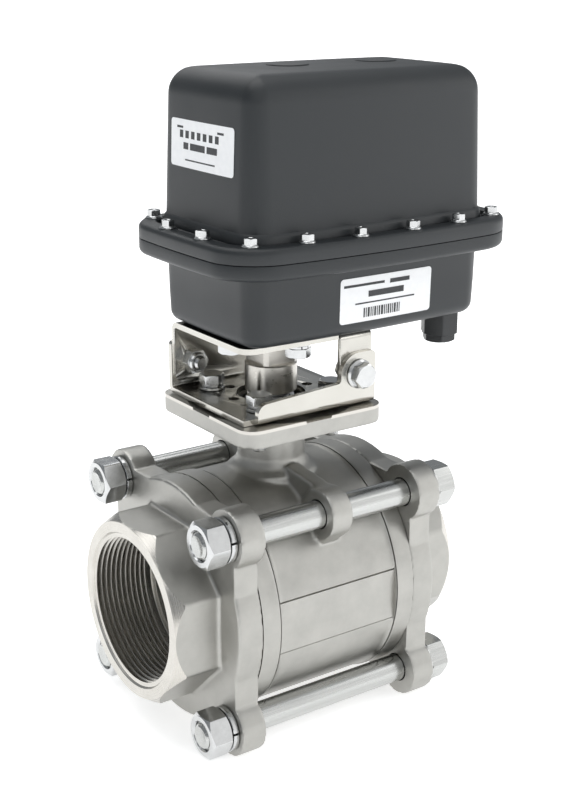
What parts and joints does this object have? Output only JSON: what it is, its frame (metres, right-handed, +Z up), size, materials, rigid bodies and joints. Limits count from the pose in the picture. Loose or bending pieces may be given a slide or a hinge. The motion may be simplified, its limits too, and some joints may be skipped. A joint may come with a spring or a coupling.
{
  "type": "motorised ball valve",
  "caption": "Three-piece stainless ball valve for 3 inch threaded pipe, with a folded sheet bracket and a black quarter-turn electric actuator.",
  "frame": {"origin": "middle of the overall box, on the ground under it", "axes": "+Z up, +X along the pipe towards the outlet, -Y towards the side with the name flat"},
  "size_m": [0.2334, 0.1466, 0.3701],
  "materials": {
    "cast_stainless": "bead-blasted investment-cast stainless steel",
    "polished_stainless": "bright turned and polished stainless steel",
    "sheet_stainless": "cold-rolled stainless sheet, lightly brushed",
    "housing_plastic": "satin moulded charcoal plastic",
    "black_plastic": "moulded black plastic",
    "seat_plastic": "white PTFE",
    "gear_steel": "sintered gear steel",
    "bronze": "bearing bronze",
    "circuit_board": "green solder resist",
    "gasket_rubber": "black sealing rubber"
  },
  "bodies": {
    "valve": {"base_screw_1": "polished_stainless", "base_screw_2": "polished_stainless", "base_screw_3": "polished_stainless", "base_screw_4": "polished_stainless", "body_seal_inlet": "seat_plastic", "body_seal_outlet": "seat_plastic", "cable_gland": "black_plastic", "circuit_board": "circuit_board", "cover": "housing_plastic", "cover_gasket": "gasket_rubber", "end_cap_inlet": "cast_stainless", "end_cap_outlet": "cast_stainless", "gear_plate": "sheet_stainless", "intermediate_pin": "polished_stainless", "lock_washer_1": "polished_stainless", "lock_washer_2": "polished_stainless", "lock_washer_3": "polished_stainless", "lock_washer_4": "polished_stainless", "lower_bracket": "sheet_stainless", "lower_housing": "housing_plastic", "motor": "black_plastic", "packing_gland": "polished_stainless", "pad_bolt_1": "polished_stainless", "pad_bolt_2": "polished_stainless", "pad_bolt_3": "polished_stainless", "pad_bolt_4": "polished_stainless", "seat_inlet": "seat_plastic", "seat_outlet": "seat_plastic", "shaft_bush": "bronze", "side_bolt_1": "polished_stainless", "side_bolt_2": "polished_stainless", "side_nut_1": "polished_stainless", "side_nut_2": "polished_stainless", "stem_packing": "seat_plastic", "thrust_washer": "seat_plastic", "tie_bolt_1": "polished_stainless", "tie_bolt_2": "polished_stainless", "tie_bolt_3": "polished_stainless", "tie_bolt_4": "polished_stainless", "tie_nut_1": "polished_stainless", "tie_nut_2": "polished_stainless", "tie_nut_3": "polished_stainless", "tie_nut_4": "polished_stainless", "upper_bracket": "sheet_stainless", "valve_body": "cast_stainless"},
    "drive_line": {"ball": "polished_stainless", "stem": "polished_stainless", "stem_nut": "polished_stainless", "disc_spring": "polished_stainless", "coupling": "sheet_stainless", "output_shaft": "polished_stainless", "output_gear": "gear_steel", "position_magnet": "black_plastic"},
    "counter_gear": {"intermediate_gear": "gear_steel"},
    "motor_rotor": {"motor_pinion": "bronze"}
  },
  "joints": [
    {"name": "output_turn", "type": "hinge", "parent": "valve", "child": "drive_line", "pos_m": [-0.0197, 0, 0.2], "axis": [0, 0, 1], "range_deg": [-90, 0]},
    {"name": "counter_turn", "type": "hinge", "parent": "valve", "child": "counter_gear", "pos_m": [0.0163, 0, 0.25], "axis": [0, 0, 1], "range_deg": [0, 270]},
    {"name": "motor_turn", "type": "hinge", "parent": "valve", "child": "motor_rotor", "pos_m": [0.0373, 0, 0.26], "axis": [0, 0, 1], "range_deg": [-864, 0]}
  ],
  "couplings": [
    {"joint": "counter_turn", "follows": "output_turn", "ratio": -3},
    {"joint": "motor_turn", "follows": "output_turn", "ratio": 9.6}
  ]
}
